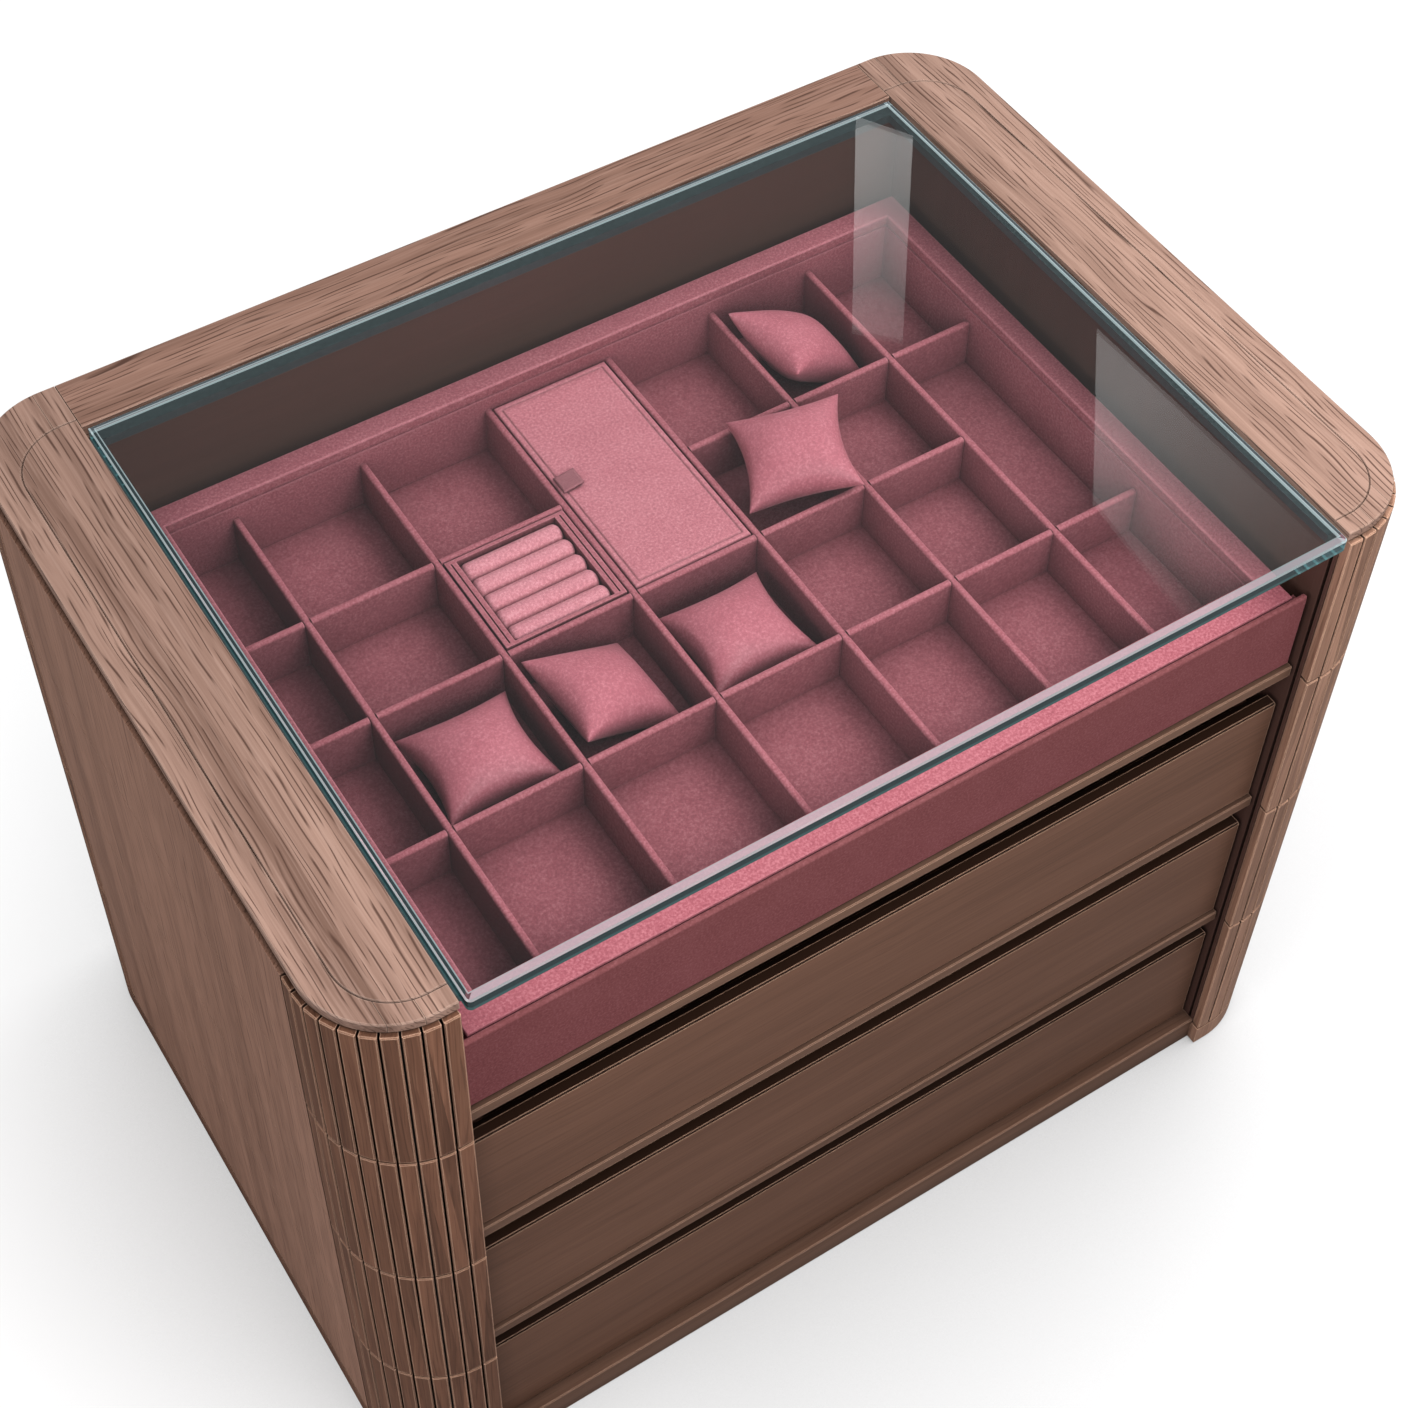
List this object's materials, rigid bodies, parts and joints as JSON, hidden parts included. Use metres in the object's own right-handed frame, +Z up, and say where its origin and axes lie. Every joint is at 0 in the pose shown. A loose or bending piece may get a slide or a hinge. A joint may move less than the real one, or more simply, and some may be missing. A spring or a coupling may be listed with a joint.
{
  "type": "jewelry display cabinet",
  "caption": "Low chest with slatted rounded corners, a thick glass top over a fabric-lined display drawer with dividers, and three wooden drawers below.",
  "frame": {"origin": "on the floor under the middle of the cabinet", "axes": "+Z up, +X to the right seen from the front, +Y to the back; the drawers open towards -Y"},
  "size_m": [0.91, 0.64, 0.725],
  "materials": {
    "walnut": "satin, vertical grain",
    "walnut_light": "satin veneer",
    "walnut_front": "satin veneer",
    "walnut_dark": "satin, dark stained",
    "rose_suede": "matte suede nap",
    "clear_glass": "polished",
    "grey_seal": "matte",
    "runner_steel": "zinc plated",
    "glide_felt": "matte"
  },
  "bodies": {
    "cabinet": {"left_base": "walnut", "left_corner_posts": "walnut_dark", "left_slats": "walnut", "left_side_panel": "walnut", "left_lining": "walnut_dark", "left_subtop": "walnut_dark", "left_cap_field": "walnut_light", "left_cap_band": "walnut_light", "right_base": "walnut", "right_corner_posts": "walnut_dark", "right_slats": "walnut", "right_side_panel": "walnut", "right_lining": "walnut_dark", "right_subtop": "walnut_dark", "right_cap_field": "walnut_light", "right_cap_band": "walnut_light", "levelling_glides": "glide_felt", "back_rail": "walnut_light", "back_panel": "walnut", "inner_back_panel": "walnut_dark", "glass_top": "clear_glass", "glass_ledges": "grey_seal", "divider_shelves": "walnut_dark", "shelf_rails": "walnut", "plinths": "walnut", "bottom_board": "walnut_dark", "fixed_runners": "runner_steel"},
    "display_drawer": {"display_front": "rose_suede", "display_rim": "rose_suede", "display_box": "walnut_dark", "display_liner": "rose_suede", "display_floor": "rose_suede", "long_dividers": "rose_suede", "cross_dividers": "rose_suede", "lid_cleats": "rose_suede", "display_drawer_slides": "runner_steel"},
    "padded_lid": {"display_lid": "rose_suede", "lid_tab": "rose_suede"},
    "ring_tray": {"ring_insert": "rose_suede", "ring_rolls": "rose_suede"},
    "drawer_2": {"drawer_2_front": "walnut_front", "drawer_2_box": "walnut_dark", "drawer_2_floor": "walnut_dark", "drawer_2_slides": "runner_steel"},
    "drawer_3": {"drawer_3_front": "walnut_front", "drawer_3_box": "walnut_dark", "drawer_3_floor": "walnut_dark", "drawer_3_slides": "runner_steel"},
    "drawer_4": {"drawer_4_front": "walnut_front", "drawer_4_box": "walnut_dark", "drawer_4_floor": "walnut_dark", "drawer_4_slides": "runner_steel"},
    "cushion_a": {"cushion_a": "rose_suede"},
    "cushion_b": {"cushion_b": "rose_suede"},
    "cushion_c": {"cushion_c": "rose_suede"},
    "cushion_d": {"cushion_d": "rose_suede"},
    "cushion_e": {"cushion_e": "rose_suede"}
  },
  "joints": [
    {"name": "display_drawer_slide", "type": "slide", "parent": "cabinet", "child": "display_drawer", "axis": [0, -1, 0], "range_m": [0, 0.4]},
    {"name": "drawer_2_slide", "type": "slide", "parent": "cabinet", "child": "drawer_2", "axis": [0, -1, 0], "range_m": [0, 0.4]},
    {"name": "drawer_3_slide", "type": "slide", "parent": "cabinet", "child": "drawer_3", "axis": [0, -1, 0], "range_m": [0, 0.4]},
    {"name": "drawer_4_slide", "type": "slide", "parent": "cabinet", "child": "drawer_4", "axis": [0, -1, 0], "range_m": [0, 0.4]},
    {"name": "padded_lid_hinge", "type": "hinge", "parent": "display_drawer", "child": "padded_lid", "pos_m": [0.052, 0.1, 0.615], "axis": [0, 1, 0], "range_deg": [0, 45]},
    {"name": "ring_tray_lift", "type": "slide", "parent": "display_drawer", "child": "ring_tray", "axis": [0, 0, 1], "range_m": [0, 0.045]},
    {"name": "cushion_a_lift", "type": "slide", "parent": "display_drawer", "child": "cushion_a", "axis": [0, 0, 1], "range_m": [0, 0.04]},
    {"name": "cushion_b_lift", "type": "slide", "parent": "display_drawer", "child": "cushion_b", "axis": [0, 0, 1], "range_m": [0, 0.04]},
    {"name": "cushion_c_lift", "type": "slide", "parent": "display_drawer", "child": "cushion_c", "axis": [0, 0, 1], "range_m": [0, 0.04]},
    {"name": "cushion_d_lift", "type": "slide", "parent": "display_drawer", "child": "cushion_d", "axis": [0, 0, 1], "range_m": [0, 0.04]},
    {"name": "cushion_e_lift", "type": "slide", "parent": "display_drawer", "child": "cushion_e", "axis": [0, 0, 1], "range_m": [0, 0.04]}
  ]
}
